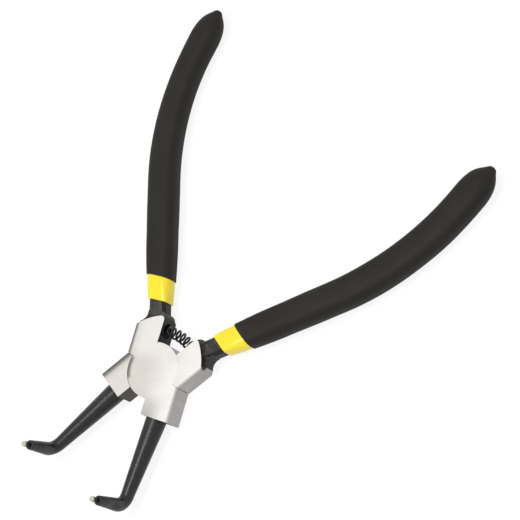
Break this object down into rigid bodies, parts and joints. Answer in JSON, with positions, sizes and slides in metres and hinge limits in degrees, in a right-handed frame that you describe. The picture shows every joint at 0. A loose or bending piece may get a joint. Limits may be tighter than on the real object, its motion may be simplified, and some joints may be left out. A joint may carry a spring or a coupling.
{
  "type": "circlip pliers",
  "caption": "Pliers with bent round jaws and thin tip pins for internal retaining rings; a return spring holds the jaws apart and squeezing the dipped handles closes them.",
  "frame": {"origin": "where the pivot axis meets the back face of the head", "axes": "+X to the right as seen from the front with the handles up, +Y from the pivot towards the handles, midway between them, +Z along the pivot axis, the way the bent tips point"},
  "size_m": [0.1326, 0.1617, 0.024],
  "materials": {
    "forged_steel": "ground and polished head faces, black oxide necks and jaws",
    "rivet_steel": "ground flush with the head",
    "spring_wire": "black",
    "pin_steel": "dark sides, bright ground end",
    "yellow_vinyl": "glossy dipped vinyl",
    "black_vinyl": "matte dipped vinyl with a fine speckle"
  },
  "bodies": {
    "front": {"front_half": "forged_steel", "pivot_rivet": "rivet_steel", "front_tip_pin": "pin_steel", "front_sleeve": "yellow_vinyl", "front_grip": "black_vinyl", "return_spring": "spring_wire"},
    "rear": {"rear_half": "forged_steel", "rear_tip_pin": "pin_steel", "rear_sleeve": "yellow_vinyl", "rear_grip": "black_vinyl"}
  },
  "joints": [
    {"name": "jaw_pivot", "type": "hinge", "parent": "front", "child": "rear", "pos_m": [0, 0, 0], "axis": [0, 0, 1], "range_deg": [0, 39], "stiffness_Nm_per_rad": 0.4, "springref_deg": -26.93, "deforming": ["return_spring"]}
  ]
}
